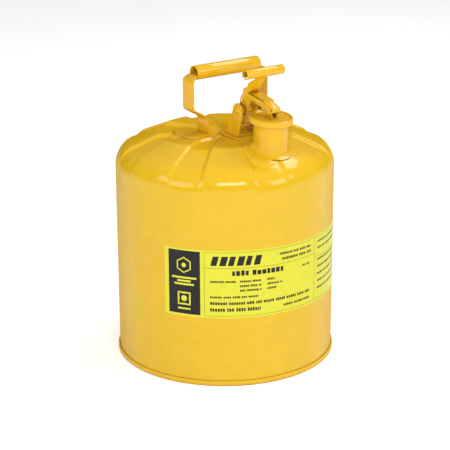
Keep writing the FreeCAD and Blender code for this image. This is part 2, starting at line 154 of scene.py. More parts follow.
# ---- materials
class Nodes:
    """Small helper for building a node tree."""

    def __init__(self, tree):
        self.tree = tree
        tree.nodes.clear()

    def add(self, kind, **settings):
        """New node with the given settings."""
        node = self.tree.nodes.new(kind)
        for key, value in settings.items():
            setattr(node, key, value)
        return node

    def link(self, a, b):
        """Joins an output to an input."""
        self.tree.links.new(a, b)

    def feed(self, socket, value):
        """Joins a socket to another one, or gives it a plain value."""
        if isinstance(value, bpy.types.NodeSocket):
            self.link(value, socket)
        else:
            socket.default_value = value

    def set(self, node, **values):
        """Feeds a node's inputs by name, with _ for a space."""
        for key, value in values.items():
            self.feed(node.inputs[key.replace("_", " ")], value)

    def noise(self, scale, detail=3.0, rough=0.5):
        """Soft noise over the piece; scale is in cells per metre."""
        node = self.add("ShaderNodeTexNoise")
        self.set(node, Vector=self.coord, Scale=scale, Detail=detail, Roughness=rough)
        return node.outputs["Fac"]

    def ramp(self, value, a, b, low=0.0, high=1.0):
        """A value's span a to b mapped to low to high, and held there outside it."""
        node = self.add("ShaderNodeMapRange")
        self.set(node, Value=value, From_Min=a, From_Max=b, To_Min=low, To_Max=high)
        return node.outputs["Result"]

    def math(self, operation, a, b=0.0):
        """Sum, product or other function of one or two values."""
        node = self.add("ShaderNodeMath", operation=operation)
        for socket, value in zip(node.inputs, (a, b)):
            self.feed(socket, value)
        return node.outputs[0]

    def mix(self, factor, a, b):
        """Colour a where factor is 0, and colour b where it is 1."""
        node = self.add("ShaderNodeMix", data_type="RGBA")
        for socket, value in zip((node.inputs[0], node.inputs[6], node.inputs[7]), (factor, a, b)):
            self.feed(socket, (*value, 1.0) if isinstance(value, tuple) else value)
        return node.outputs[2]

    def bump(self, height, strength, distance, normal=None):
        """Normal disturbed by a height, distance metres deep."""
        node = self.add("ShaderNodeBump")
        self.set(node, Height=height, Strength=strength, Distance=distance)
        if normal is not None:
            self.set(node, Normal=normal)
        return node.outputs[0]

    def crevice(self, distance):
        """0 in the open, 1 deep in a corner."""
        node = self.add("ShaderNodeAmbientOcclusion", samples=8)
        self.set(node, Distance=distance)
        return self.math("SUBTRACT", 1.0, node.outputs["AO"])

    def edge(self, radius):
        """1 on sharp outer and inner edges, 0 on flat faces."""
        bevel = self.add("ShaderNodeBevel", samples=4)
        self.set(bevel, Radius=radius)
        plain = self.add("ShaderNodeNewGeometry")
        dot = self.add("ShaderNodeVectorMath", operation="DOT_PRODUCT")
        self.link(bevel.outputs[0], dot.inputs[0])
        self.link(plain.outputs["Normal"], dot.inputs[1])
        return self.ramp(dot.outputs["Value"], 0.995, 0.85)


class Material(Nodes):
    """A material with a Principled surface, ready to be fed."""

    def __init__(self, name):
        self.mat = bpy.data.materials.new(name)
        self.mat.use_nodes = True
        super().__init__(self.mat.node_tree)
        self.out = self.add("ShaderNodeOutputMaterial")
        self.bsdf = self.add("ShaderNodeBsdfPrincipled")
        self.link(self.bsdf.outputs[0], self.out.inputs[0])
        self.coord = self.add("ShaderNodeTexCoord").outputs["Object"]


def paint(name, color, painted_top_light, deep, light, seam_shade):
    """Glossy sprayed enamel on sheet steel: colour drift, orange peel, dust, worn edges, painted light
    and shade.

    The colour after the main one tints faces that look up: painted light from above. The next one is
    painted shade in corners and on grazing faces, and also the colour of the dust specks. The last one,
    light, shows on worn edges, and seam_shade times the painted shade fills the narrowest crevices.
    """
    n = Material(name)
    drift = n.ramp(n.noise(7.0, 2.0), 0.35, 0.65)
    base = n.mix(drift, color, tuple(c * k for c, k in zip(color, (0.98, 0.95, 0.9))))
    # Faces that look up are tinted towards the second colour: painted light from above.
    tilt = n.add("ShaderNodeSeparateXYZ")
    n.link(n.add("ShaderNodeNewGeometry").outputs["Normal"], tilt.inputs[0])
    base = n.mix(n.ramp(tilt.outputs[2], 0.1, 0.8), base, painted_top_light)
    # Faces seen edge-on darken towards the deep colour: painted shade at the silhouettes.
    grazing_shade = n.add("ShaderNodeLayerWeight")
    n.set(grazing_shade, Blend=0.5)
    base = n.mix(n.ramp(grazing_shade.outputs["Facing"], 0.55, 1.0, 0.0, 0.35), base, deep)
    mottle = n.ramp(n.noise(60.0, 4.0), 0.3, 0.75, 0.0, 0.35)
    base = n.mix(mottle, base, light)
    # Ambient occlusion within 10 mm darkens corners and hollows towards the deep colour: painted shade.
    # The same mask also roughens them a little.
    painted_crevice_shade = n.math("MULTIPLY", n.ramp(n.crevice(0.010), 0.24, 0.8), 0.85)
    base = n.mix(painted_crevice_shade, base, deep)
    # Ambient occlusion within 2.2 mm darkens the narrowest crevices further, by seam_shade times the deep
    # colour: painted shade.
    seam = n.math("MULTIPLY", n.ramp(n.crevice(0.0022), 0.42, 0.8), 0.75)
    base = n.mix(seam, base, tuple(seam_shade * c for c in deep))
    wear = n.math("MULTIPLY", n.edge(0.0007), n.ramp(n.noise(140.0, 5.0, 0.7), 0.48, 0.62))
    base = n.mix(n.math("MULTIPLY", wear, 0.55), base, light)
    specks = n.add("ShaderNodeTexVoronoi", feature="F1")
    n.set(specks, Vector=n.coord, Scale=46.0)
    near = n.ramp(specks.outputs["Distance"], 0.035, 0.02)
    rare = n.add("ShaderNodeSeparateColor")
    n.link(specks.outputs["Color"], rare.inputs[0])
    grit = n.math("MULTIPLY", near, n.ramp(rare.outputs[0], 0.965, 0.97))
    base = n.mix(n.math("MULTIPLY", grit, 0.7), base, deep)
    rough = n.math("ADD", n.ramp(n.noise(25.0, 4.0), 0.3, 0.7, 0.07, 0.14), n.math("MULTIPLY", painted_crevice_shade, 0.3))
    peel = n.bump(n.noise(420.0, 2.0), 0.05, 0.0002)
    waves = n.bump(n.noise(30.0, 2.0), 0.06, 0.0012, peel)
    n.set(n.bsdf, Base_Color=base, Roughness=rough, Normal=waves, Specular_IOR_Level=0.0)
    gloss_layer(n, rough, waves)
    return n.mat


def gloss_layer(n, rough, normal):
    """Clear gloss over the colour coat, its share capped at grazing angles."""
    gloss = n.add("ShaderNodeBsdfGlossy")
    n.set(gloss, Roughness=rough, Normal=normal)
    fresnel = n.add("ShaderNodeFresnel")
    n.set(fresnel, IOR=1.45)
    mix = n.add("ShaderNodeMixShader")
    n.link(n.math("MINIMUM", fresnel.outputs[0], 0.12), mix.inputs[0])
    n.link(n.bsdf.outputs[0], mix.inputs[1])
    n.link(gloss.outputs[0], mix.inputs[2])
    n.link(mix.outputs[0], n.out.inputs[0])


def metal(name, color, dark, rough, brush_axis=None, gauze=False):
    """Bare metal: brushing or gauze, darker in the corners, uneven roughness."""
    n = Material(name)
    stain = n.ramp(n.noise(90.0, 5.0, 0.6), 0.35, 0.7)
    base = n.mix(stain, color, dark)
    # Ambient occlusion within 6 mm darkens corners towards 0.35 times the dark colour.
    base = n.mix(n.ramp(n.crevice(0.006), 0.2, 1.0), base, tuple(0.35 * c for c in dark))
    height = n.noise(900.0, 3.0)
    if brush_axis is not None:
        stretch = n.add("ShaderNodeMapping")
        scale = [2500.0] * 3
        scale[brush_axis] = 60.0
        n.set(stretch, Vector=n.coord, Scale=scale)
        fine = n.add("ShaderNodeTexNoise")
        n.set(fine, Vector=stretch.outputs[0], Scale=1.0, Detail=2.0)
        height = fine.outputs["Fac"]
    if gauze:
        height = weave(n, 700.0)
        base = n.mix(n.ramp(height, 0.25, 0.7), tuple(0.25 * c for c in dark), base)
    uneven = n.ramp(n.noise(200.0, 3.0), 0.3, 0.7, rough - 0.06, rough + 0.1)
    relief = n.bump(height, 0.5 if gauze else 0.15, 0.0003)
    n.set(n.bsdf, Base_Color=base, Roughness=uneven, Normal=relief, Metallic=1.0)
    return n.mat


def weave(n, scale):
    """Height of a square wire weave about the upright axis."""
    split = n.add("ShaderNodeSeparateXYZ")
    n.link(n.coord, split.inputs[0])
    turn = n.math("ARCTAN2", split.outputs[1], split.outputs[0])
    around = n.math("ABSOLUTE", n.math("SINE", n.math("MULTIPLY", turn, 0.018 * scale * math.pi)))
    up = n.math("ABSOLUTE", n.math("SINE", n.math("MULTIPLY", split.outputs[2], scale * math.pi)))
    return n.math("MAXIMUM", around, up)


def rubber(name):
    """Dull black rubber with a fine grain."""
    n = Material(name)
    base = n.mix(n.ramp(n.noise(120.0, 4.0), 0.3, 0.7), (0.016, 0.016, 0.017), (0.045, 0.043, 0.04))
    rough = n.ramp(n.noise(60.0, 3.0), 0.3, 0.7, 0.55, 0.8)
    n.set(n.bsdf, Base_Color=base, Roughness=rough, Normal=n.bump(n.noise(1500.0, 3.0), 0.35, 0.0002))
    return n.mat


def film(name, color, other, rough=0.32):
    """Printed vinyl film: faint ink mottle, fine surface grain, a few soft ripples."""
    n = Material(name)
    base = n.mix(n.ramp(n.noise(160.0, 4.0), 0.3, 0.7), color, other)
    base = n.mix(n.ramp(n.noise(9.0, 2.0), 0.3, 0.7, 0.0, 0.4), base, other)
    uneven = n.ramp(n.noise(80.0, 3.0), 0.3, 0.7, rough, rough + 0.12)
    grain = n.bump(n.noise(1400.0, 2.0), 0.12, 0.0001)
    ripples = n.bump(n.noise(26.0, 2.0), 0.12, 0.0008, grain)
    n.set(n.bsdf, Base_Color=base, Roughness=uneven, Normal=ripples, Specular_IOR_Level=0.12)
    return n.mat


def pale_floor():
    """Near-white floor with a faint drift and a little glow of its own."""
    n = Material("floor_pale")
    base = n.mix(n.ramp(n.noise(3.0, 3.0), 0.3, 0.7), (0.93, 0.93, 0.925), (0.95, 0.95, 0.945))
    n.set(n.bsdf, Base_Color=base, Roughness=0.85, Specular_IOR_Level=0.1,
          Emission_Color=(1.0, 1.0, 1.0, 1.0), Emission_Strength=0.34)
    return n.mat


# Colours of each paint: main, painted light on faces that look up, painted shade (also the dust specks),
# worn edges; then the share of painted shade in the narrowest crevices.
BODY_PAINT = paint("enamel_body", (0.665, 0.425, 0.010), (0.79, 0.475, 0.009), (0.36, 0.14, 0.003),
                   (0.80, 0.50, 0.03), 0.8)
FITTING_PAINT = paint("enamel_fittings", (0.72, 0.415, 0.008), (0.76, 0.44, 0.009), (0.30, 0.10, 0.002),
                      (0.82, 0.46, 0.02), 0.2)
CAGE_STEEL = metal("arrester_steel", (0.62, 0.61, 0.58), (0.36, 0.34, 0.31), 0.32, brush_axis=2)
GAUZE = metal("arrester_gauze", (0.72, 0.55, 0.27), (0.42, 0.28, 0.12), 0.35, gauze=True)
SPRING_STEEL = metal("spring_wire", (0.40, 0.39, 0.38), (0.16, 0.13, 0.11), 0.30, brush_axis=0)
ZINC = metal("zinc_washer", (0.66, 0.66, 0.64), (0.42, 0.40, 0.36), 0.30, brush_axis=1)
GASKET = rubber("nitrile_gasket")
LABEL_YELLOW = film("label_yellow", (0.67, 0.65, 0.055), (0.64, 0.61, 0.045))
LABEL_BLACK = film("label_black", (0.017, 0.016, 0.018), (0.028, 0.026, 0.024), 0.28)
LABEL_OLIVE = film("label_rule_ink", (0.30, 0.27, 0.02), (0.22, 0.19, 0.02))


# ---- mesh helpers
def raw_mesh(name, verts, faces):
    """Mesh in metres from vertices in millimetres."""
    mesh = bpy.data.meshes.new(name)
    mesh.from_pydata([tuple(c * MM for c in v) for v in verts], [], faces)
    return mesh


def close_up(mesh):
    """Merges doubled vertices and turns every face outwards."""
    bm = bmesh.new()
    bm.from_mesh(mesh)
    bmesh.ops.remove_doubles(bm, verts=bm.verts, dist=MERGE_M)
    bmesh.ops.recalc_face_normals(bm, faces=bm.faces)
    bm.to_mesh(mesh)
    bm.free()


def make_piece(name, shape, material, body, replaces=(), sharp_deg=35.0):
    """Shades a mesh, or (vertices, faces) in millimetres, and puts it on its CAD body."""
    mesh = shape if isinstance(shape, bpy.types.Mesh) else raw_mesh(name, *shape)
    close_up(mesh)
    mesh.polygons.foreach_set("use_smooth", [True] * len(mesh.polygons))
    mesh.set_sharp_from_angle(angle=math.radians(sharp_deg))
    mesh.materials.clear()
    mesh.materials.append(material)
    obj = bpy.data.objects.new(name, mesh)
    bpy.context.scene.collection.objects.link(obj)
    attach(obj, body)
    if replaces:
        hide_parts(*replaces)
    return obj


def fitting(name, shape, body, node, sharp_deg=50.0):
    """Painted fitting that takes the place of a CAD node."""
    make_piece(name, shape, FITTING_PAINT, body, [node], sharp_deg)


def ring_faces(rows, cols, wrap_rows, wrap_cols):
    """Quads of a rows x cols grid of vertices, wrapped round in either direction."""
    faces = []
    for i in range(rows if wrap_rows else rows - 1):
        for j in range(cols if wrap_cols else cols - 1):
            a = i * cols + j
            b = i * cols + (j + 1) % cols
            c = ((i + 1) % rows) * cols + (j + 1) % cols
            d = ((i + 1) % rows) * cols + j
            faces.append((a, b, c, d))
    return faces


def lathe(profile, steps, y=0.0):
    """Closed (r, z) outline turned about an upright axis at x = 0. Points on the axis are merged."""
    verts = []
    for k in range(steps):
        angle = 2 * math.pi * k / steps
        verts += [(r * math.cos(angle), y + r * math.sin(angle), z) for r, z in profile]
    return verts, ring_faces(steps, len(profile), True, True)


def arc(cx, cy, r, start_deg, end_deg, count):
    """Points on a circular arc."""
    spots = []
    for k in range(count + 1):
        angle = math.radians(start_deg + (end_deg - start_deg) * k / count)
        spots.append((cx + r * math.cos(angle), cy + r * math.sin(angle)))
    return spots


def rounded(outline, radii, count=5, closed=True):
    """Outline with each corner replaced by an arc of its own radius."""
    if not isinstance(radii, (list, tuple)):
        radii = [radii] * len(outline)
    result = []
    last = len(outline) - 1
    for i, corner in enumerate(outline):
        if (not closed and i in (0, last)) or radii[i] <= 0:
            result.append(corner)
            continue
        here = Vector(corner)
        a = Vector(outline[i - 1]) - here
        b = Vector(outline[(i + 1) % len(outline)]) - here
        half = a.angle(b) / 2
        reach = min(radii[i] / math.tan(half), a.length * 0.48, b.length * 0.48)
        start = here + a.normalized() * reach
        end = here + b.normalized() * reach
        for k in range(count + 1):
            t = k / count
            point = start * (1 - t) ** 2 + here * 2 * t * (1 - t) + end * t * t
            result.append(tuple(point))
    return result


def prism(outline, low, high, axis):
    """Temporary mesh of an outline extruded between low and high, along axis x or z.

    Along x the outline's pairs are (-y, z), and along z they are (x, y).
    """
    def place(p, level):
        """A point of the outline at one end."""
        return (level, -p[0], p[1]) if axis == "x" else (p[0], p[1], level)
    count = len(outline)
    verts = [place(p, low) for p in outline] + [place(p, high) for p in outline]
    faces = [tuple(range(count)), tuple(range(2 * count - 1, count - 1, -1))]
    for i in range(count):
        j = (i + 1) % count
        faces.append((i, i + count, j + count, j))
    return temp_mesh(verts, faces)


def temp_mesh(verts, faces):
    """Closed mesh that goes into another one."""
    mesh = raw_mesh("temp", verts, faces)
    close_up(mesh)
    return mesh


def cross_hole(r, y, z, steps=24):
    """Round bar along X through (y, z), to cut a hole through a fitting."""
    return prism(arc(-y, z, r, 180, -180, steps)[:-1], -30.0, 30.0, "x")


def combine(solids, cuts=(), bevel=0.0):
    """Union of temporary meshes less the cuts, with its sharp edges rounded."""
    def link(mesh):
        """Object of a mesh, in the scene for as long as the modifiers need it."""
        obj = bpy.data.objects.new("temp", mesh)
        bpy.context.scene.collection.objects.link(obj)
        return obj

    main = link(solids[0])
    helpers = []
    for operation, group in (("UNION", solids[1:]), ("DIFFERENCE", cuts)):
        for mesh in group:
            other = link(mesh)
            helpers.append(other)
            mod = main.modifiers.new("join", "BOOLEAN")
            mod.operation = operation
            mod.solver = "EXACT"
            mod.object = other
    if bevel:
        mod = main.modifiers.new("edge", "BEVEL")
        mod.width = bevel * MM
        mod.segments = 2
        mod.limit_method = "ANGLE"
        mod.angle_limit = math.radians(35.0)
        mod.use_clamp_overlap = True
    bpy.context.view_layer.update()
    graph = bpy.context.evaluated_depsgraph_get()
    mesh = bpy.data.meshes.new_from_object(main.evaluated_get(graph))
    for obj in [main] + helpers:
        bpy.data.objects.remove(obj)
    return mesh


def smoothstep(t):
    """Soft rise from 0 to 1 as t goes from 0 to 1."""
    t = np.clip(t, 0.0, 1.0)
    return t * t * (3 - 2 * t)


# ---- dome surface
TANGENT_R = BODY_R - SHOULDER_R + SHOULDER_R * math.sin(math.radians(CONE_DEG))
TANGENT_Z = SHOULDER_Z + SHOULDER_R * math.cos(math.radians(CONE_DEG))
CONE_TOP_Z = TANGENT_Z + (TANGENT_R - CONE_TOP_R) * math.tan(math.radians(CONE_DEG))


def dome_z(x, y):
    """Height of the dome over its ribs, for numpy arrays or numbers."""
    r = np.hypot(x, y)
    crown = CONE_TOP_Z + CROWN_RISE * np.clip((CONE_TOP_R - r) / (CONE_TOP_R - 6.0), 0, 1)
    cone = TANGENT_Z + (TANGENT_R - r) * math.tan(math.radians(CONE_DEG))
    across = np.clip(SHOULDER_R ** 2 - (r - BODY_R + SHOULDER_R) ** 2, 0, None)
    shoulder = SHOULDER_Z + np.sqrt(across)
    return np.where(r < CONE_TOP_R, crown, np.where(r < TANGENT_R, cone, shoulder))


def outline_distance(x, y, outline):
    """Signed distance to a closed outline, negative inside."""
    inside = np.zeros(np.shape(x), bool)
    best = np.full(np.shape(x), 1e9)
    for (x0, y0), (x1, y1) in zip(outline, outline[1:] + outline[:1]):
        dx, dy = x1 - x0, y1 - y0
        t = np.clip(((x - x0) * dx + (y - y0) * dy) / (dx * dx + dy * dy), 0, 1)
        best = np.minimum(best, np.hypot(x - x0 - t * dx, y - y0 - t * dy))
        crosses = (y0 > y) != (y1 > y)
        with np.errstate(divide="ignore", invalid="ignore"):
            left = x < (x1 - x0) * (y - y0) / (y1 - y0) + x0
        inside ^= crosses & left
    return np.where(inside, -best, best)


FLANGE = FLANGE_HALF + [(-x, y) for x, y in reversed(FLANGE_HALF)]
FLANGE_SMOOTH = rounded(FLANGE, FLANGE_CORNER_R)


def raised_share(x, y):
    """1 on the ribs and on the flats pressed for the fittings, 0 in the valleys."""
    half = math.radians(RIB_HALF_DEG)
    share = np.zeros(np.shape(x))
    for i in range(RIB_COUNT):
        turn = math.radians(RIB_FIRST_DEG + i * 360.0 / RIB_COUNT)
        along = x * math.cos(turn) + y * math.sin(turn) - RIB_APEX_R
        aside = np.abs(-x * math.sin(turn) + y * math.cos(turn))
        depth = along * math.sin(half) - aside * math.cos(half)
        share = np.maximum(share, smoothstep(depth / RIB_BLEND + 0.5))
    seats = outline_distance(x, y, FLANGE_SMOOTH)
    seats = np.minimum(seats, outline_distance(np.abs(x), y, rounded(FOOT_OUTLINE, 7.0)))
    return np.maximum(share, smoothstep(1.0 - (seats - 1.0) / 6.0))


def body_outline():
    """The body's outer outline from the seam up to the middle of the crown, as (r, z) pairs."""
    rows = [(BODY_R, z) for z in [BODY_LOW_Z, 40, 90, 140, 180, 205, 225, 240, 252]]
    for k in range(23):
        a = math.radians(90 - k * (90 - CONE_DEG) / 22)
        out, up = SHOULDER_R * math.sin(a), SHOULDER_R * math.cos(a)
        rows.append((BODY_R - SHOULDER_R + out, SHOULDER_Z + up))
    cone = [(TANGENT_R + (CONE_TOP_R - TANGENT_R) * k / 14) for k in range(1, 15)]
    crown = [CONE_TOP_R * (1 - k / 44) for k in range(1, 44)] + [0.6]
    return rows + [(r, float(dome_z(r, 0))) for r in cone + crown]


def body_piece():
    """One-piece drawn body: side wall, shoulder and ribbed dome, open under the spout."""
    rows = body_outline()
    steps = 576
    radius, height = (np.array(column)[:, None] for column in zip(*rows))
    turn = (np.arange(steps) * 2 * math.pi / steps)[None, :]
    x, y = radius * np.cos(turn), radius * np.sin(turn)
    fade = smoothstep((height - RIB_FADE_Z[0]) / (RIB_FADE_Z[1] - RIB_FADE_Z[0]))
    z = height - RIB_HEIGHT * (1 - raised_share(x, y)) * fade
    outer = np.stack([x, y, z], -1)
    normal = np.cross(np.roll(outer, -1, 1) - np.roll(outer, 1, 1), np.gradient(outer, axis=0))
    normal /= np.linalg.norm(normal, axis=2, keepdims=True)
    inner = outer - SHEET * normal
    inner[0, :, 2] = BODY_LOW_Z
    middle = (outer[:, :, :2] + np.roll(outer[:, :, :2], -1, 1)) / 2
    middle = (middle[:-1] + middle[1:]) / 2
    hole = np.hypot(middle[..., 0], middle[..., 1] - SPOUT_Y) < NECK_R
    hole &= middle[..., 1] < -60
    shape = sheet_with_hole(outer, inner, hole)
    make_piece("can_body", shape, BODY_PAINT, "root", ["body_shell"], 60.0)


def sheet_with_hole(outer, inner, hole):
    """Closed sheet between two grids, without its hole cells, its rim drawn to the neck's circle."""
    count, steps = outer.shape[:2]
    faces = []
    edges = {}
    for i in range(count - 1):
        for j in range(steps):
            if hole[i, j]:
                continue
            k = (j + 1) % steps
            quad = (i * steps + j, i * steps + k, (i + 1) * steps + k, (i + 1) * steps + j)
            faces.append(quad)
            for a, b in zip(quad, quad[1:] + quad[:1]):
                if (b, a) in edges:
                    del edges[b, a]
                else:
                    edges[a, b] = True
    shift = count * steps
    top = (count - 1) * steps
    walls = [(b, a, a + shift, b + shift) for a, b in edges if not (a >= top and b >= top)]
    rim = {v for edge in edges for v in edge if steps <= v < top}
    points = np.concatenate([outer.reshape(-1, 3), inner.reshape(-1, 3)])
    for v in rim:
        for at in (v, v + shift):
            away = points[at, :2] - (0, SPOUT_Y)
            points[at, :2] = np.array((0, SPOUT_Y)) + away * (NECK_R / np.hypot(*away))
    crown_loop = tuple(range(top, top + steps))
    faces += [tuple(v + shift for v in reversed(quad)) for quad in faces] + walls
    faces += [crown_loop, tuple(v + shift for v in reversed(crown_loop))]
    used = sorted({v for face in faces for v in face})
    renumber = {v: i for i, v in enumerate(used)}
    return points[used].tolist(), [tuple(renumber[v] for v in face) for face in faces]


def bottom_piece():
    """Recessed bottom with its double seam rolled round the body's lower edge."""
    inner = BODY_R - SHEET
    fold = inner - 1.6
    profile = [(0.0, 5.0), (60.0, 5.0), (110.0, 5.0), (fold - 4.0, 5.0)]
    profile += arc(fold - 1.5, 3.5, 1.5, 90, 0, 4)
    profile += arc(fold + 1.5, 1.5, 1.5, 180, 270, 4)
    profile += arc(SEAM_R - 1.9, 1.9, 1.9, 270, 360, 5)
    profile += [(SEAM_R - 0.1, 3.6)]
    profile += arc(SEAM_R - 1.4, SEAM_H - 1.4, 1.4, 0, 90, 5)
    profile += [(BODY_R + 0.06, SEAM_H - 0.25)]
    profile += [(BODY_R + 0.03, BODY_LOW_Z), (inner - 0.03, BODY_LOW_Z)]
    profile += arc(inner - 0.85, SEAM_H - 0.8, 0.75, 0, 180, 5)
    profile += [(fold, 6.6), (fold - 2.0, 5.8), (110.0, 5.8), (60.0, 5.8), (0.0, 5.8)]
    shape = lathe(profile, 360)
    make_piece("bottom_seam", shape, BODY_PAINT, "root", ["bottom_plate"], 50.0)


def on_mouth(y):
    """Rise of the spout's slanting mouth, which is lowest at the front of the lid."""
    return (y - SPOUT_Y + LID_R) * MOUTH_SLOPE


def tilted(shape):
    """A flat lid part's vertices and faces, laid on the slanting mouth."""
    verts, faces = shape
    return [(x, y, z + on_mouth(y)) for x, y, z in verts], faces


def seal_pieces():
    """Gasket ring under the lid and the retainer plate that holds it."""
    seat, roof, outer = LIP_TOP_Z + 0.15, LID_TOP_Z - 3.25, GASKET_R
    under, inner = seat + 1.0, GASKET_R - GASKET_WIDTH
    ring = [(inner, under + 0.4), (inner + 0.4, under), (outer - 0.4, under), (outer, under + 0.4)]
    ring += [(outer, roof - 0.4), (outer - 0.4, roof), (inner, roof)]
    shape = tilted(lathe(ring, 96, SPOUT_Y))
    make_piece("seal_ring", shape, GASKET, "lid", ["lid_gasket"])
    outer, inner = RETAINER_R, RETAINER_HOLE_R
    plate = [(inner, seat - 1.2), (outer - 1.0, seat - 1.2), (outer - 0.2, seat - 0.9)]
    plate += [(outer, seat - 0.5), (outer - 0.3, seat - 0.1), (outer - 1.0, seat), (inner, seat)]
    shape = tilted(lathe(plate, 96, SPOUT_Y))
    make_piece("seal_plate", shape, ZINC, "lid", ["gasket_retainer"])


def spout_section(cosine, sine):
    """The spout's closed section in one direction from its axis: lip, neck, fillet, flange, bore."""
    def ground(r):
        """Height of the dome at a distance from the spout's axis."""
        return float(dome_z(r * cosine, SPOUT_Y + r * sine))

    fillet_r = NECK_R + NECK_FILLET
    base = ground(fillet_r)
    low = base + FLANGE_T + NECK_FILLET
    high = LIP_TOP_Z - 3.9
    bore = NECK_R - NECK_WALL
    edge = flange_reach(cosine, sine)
    flat = edge - fillet_r - 0.9
    section = [(bore, LIP_TOP_Z - 0.9), (bore + 0.9, LIP_TOP_Z)]
    section += arc(LIP_R - 0.9, LIP_TOP_Z - 0.9, 0.9, 90, -90, 8)
    section += [(NECK_R + 0.35, LIP_TOP_Z - 2.0), (NECK_R, LIP_TOP_Z - 2.6)]
    section += [(NECK_R, high + (low - high) * t) for t in (0.3, 0.65, 1.0)]
    for j in range(1, 9):
        a, blend = math.radians(90 * j / 8), j / 8
        r = NECK_R + NECK_FILLET * (1 - math.cos(a))
        z = FLANGE_T + NECK_FILLET * (1 - math.sin(a))
        section.append((r, z + ground(r) * blend + base * (1 - blend)))
    over = [(fillet_r + flat * t, FLANGE_T) for t in (0.12, 0.3, 0.5, 0.7, 0.88, 1.0)]
    over += [(edge - 0.3, FLANGE_T - 0.25), (edge, FLANGE_T - 0.75), (edge, 0.02)]
    over += [(bore + (edge - bore) * t, 0.02) for t in (0.8, 0.55, 0.3)]
    over += [(bore + 0.7, 0.02), (bore, 0.6)]
    section += [(r, ground(r) + lift) for r, lift in over]
    section += [(bore, base + 8.0), (bore, LIP_TOP_Z - 8.6), (LEDGE_R, LIP_TOP_Z - 8.5)]
    section += [(LEDGE_R, LIP_TOP_Z - 7.0), (bore, LIP_TOP_Z - 7.0)]
    return [(r * cosine, SPOUT_Y + r * sine, z) for r, z in section]


def spout_piece():
    """Neck and flange drawn in one, with a soft fillet between them and a rolled lip."""
    steps = 192
    loops = []
    for k in range(steps):
        turn = 2 * math.pi * k / steps
        loops.append(spout_section(math.cos(turn), math.sin(turn)))
    verts = []
    for x, y, z in (p for loop in loops for p in loop):
        slant = float(smoothstep((z - SLANT_FROM_Z) / SLANT_SPAN))
        verts.append((x, y, z + on_mouth(y) * slant))
    faces = ring_faces(steps, len(loops[0]), True, True)
    fitting("spout_neck", (verts, faces), "root", "pouring_spout")


def flange_reach(cosine, sine):
    """Distance from the spout's axis to the flange's edge in one direction."""
    best = 0.0
    for (x0, y0), (x1, y1) in zip(FLANGE_SMOOTH, FLANGE_SMOOTH[1:] + FLANGE_SMOOTH[:1]):
        a, b = x1 - x0, y1 - y0
        d = cosine * b - sine * a
        if abs(d) < 1e-9:
            continue
        t = (x0 * b - (y0 - SPOUT_Y) * a) / d
        u = (x0 * sine - (y0 - SPOUT_Y) * cosine) / d
        if t > 0 and -1e-6 <= u <= 1 + 1e-6:
            best = max(best, t)
    return best


def lid_piece():
    """Pressed cap: skirt, raised bead round the rim and a shallow dished top."""
    disc_z = LID_TOP_Z - 2.2
    profile = [(LID_HOLE_R, disc_z), (12.0, disc_z), (23.0, disc_z)]
    profile += [(24.4, disc_z + 0.15), (25.3, disc_z + 0.9), (26.0, disc_z + 1.8)]
    profile += arc(LID_R - 1.9, LID_TOP_Z - 1.9, 1.9, 110, 0, 7)
    profile += [(LID_R, LID_LOW_Z + 3.0), (LID_R - 0.1, LID_LOW_Z + 0.9)]
    profile += arc(LID_R - 0.55, LID_LOW_Z + 0.45, 0.45, 0, -180, 5)
    profile += [(LID_R - 1.0, LID_LOW_Z + 2.0), (LID_R - 1.0, disc_z - 1.6)]
    profile += [(LID_R - 1.5, disc_z - 1.0), (12.0, disc_z - 1.0), (LID_HOLE_R, disc_z - 1.0)]
    fitting("lid_cover", tilted(lathe(profile, 128, SPOUT_Y)), "lid", "lid_cap")


# ---- lever, arm and bracket
def lever_piece():
    """Folded lever: side plates on the pivot, a web over the arm and an upright stem."""
    back = [(77.9, 392.0), (60.9, 382.8), (58.8, 377.2), (50.8, 374.7), (46.8, 355.0), (42.6, 350.0)]
    low = [(41.8, 345.0), (43.4, 340.6), (47.0, 338.0), (52.0, 337.6)]
    low += [(56.6, 340.4), (60.0, 347.5), (66.5, 361.6)]
    front = [(94.0, 360.6), (94.0, 365.1), (63.0, 370.4)]
    radii = [1.0, 3.0, 1.2, 3.0, 6.0, 4.0] + [3.0] * 6 + [2.0] + [2.0, 2.0, 0.0]
    side = rounded(back + low + front, radii)
    stem = [(63.0, 370.4), (85.99, 403.81), (84.75, 404.66), (61.76, 371.25)]
    web = [(63.0, 370.4), (94.0, 365.1), (94.0, 363.6), (61.7, 369.1), (61.76, 371.25)]
    solids = [prism(side, LEVER_INNER, LEVER_HALF, "x"), prism(side, -LEVER_HALF, -LEVER_INNER, "x")]
    solids += [prism(outline, -LEVER_HALF, LEVER_HALF, "x") for outline in (stem, web)]
    mesh = combine(solids, [cross_hole(3.05, PIVOT_Y, PIVOT_Z, 48)], EDGE_SOFT)
    fitting("squeeze_lever", mesh, "lever", "trigger_lever", 35.0)


def arm_piece():
    """Inner channel that runs forward and down to the lid, pinned to its clevis."""
    bottom = [(69.5, 359.2), (79.9, 356.9), (95.5, 352.6), (97.4, 347.8), (101, 346.4), (104.6, 347.8)]
    outline = bottom + [(109.5, 352.5), (109.5, 357.2), (94, 363.6), (68, 368.0)]
    outline = rounded(outline, [1, 2, 2, 2.5, 2.5, 2.5, 2, 2, 4, 1])
    hollow = [(60, 330), (60, 367.85), (68, 366.5), (94, 362.1), (108, 356.2), (108, 330)]
    cuts = [prism(hollow, -ARM_INNER, ARM_INNER, "x"), cross_hole(1.65, *LID_PIN)]
    cuts.append(cross_hole(1.2, *ARM_RIVET))
    mesh = combine([prism(outline, -ARM_HALF, ARM_HALF, "x")], cuts, EDGE_SOFT)
    fitting("lid_lift_arm", mesh, "lever", "lid_arm", 35.0)


def bar_piece():
    """Rolled finger bar with rounded ends and its seam along the underside."""
    shape = rolled_tube(BAR_R, BAR_HALF, BAR_Y, BAR_TOP - BAR_R, -60, 14.0, 0.5)
    fitting("finger_bar", shape, "lever", "trigger_bar")


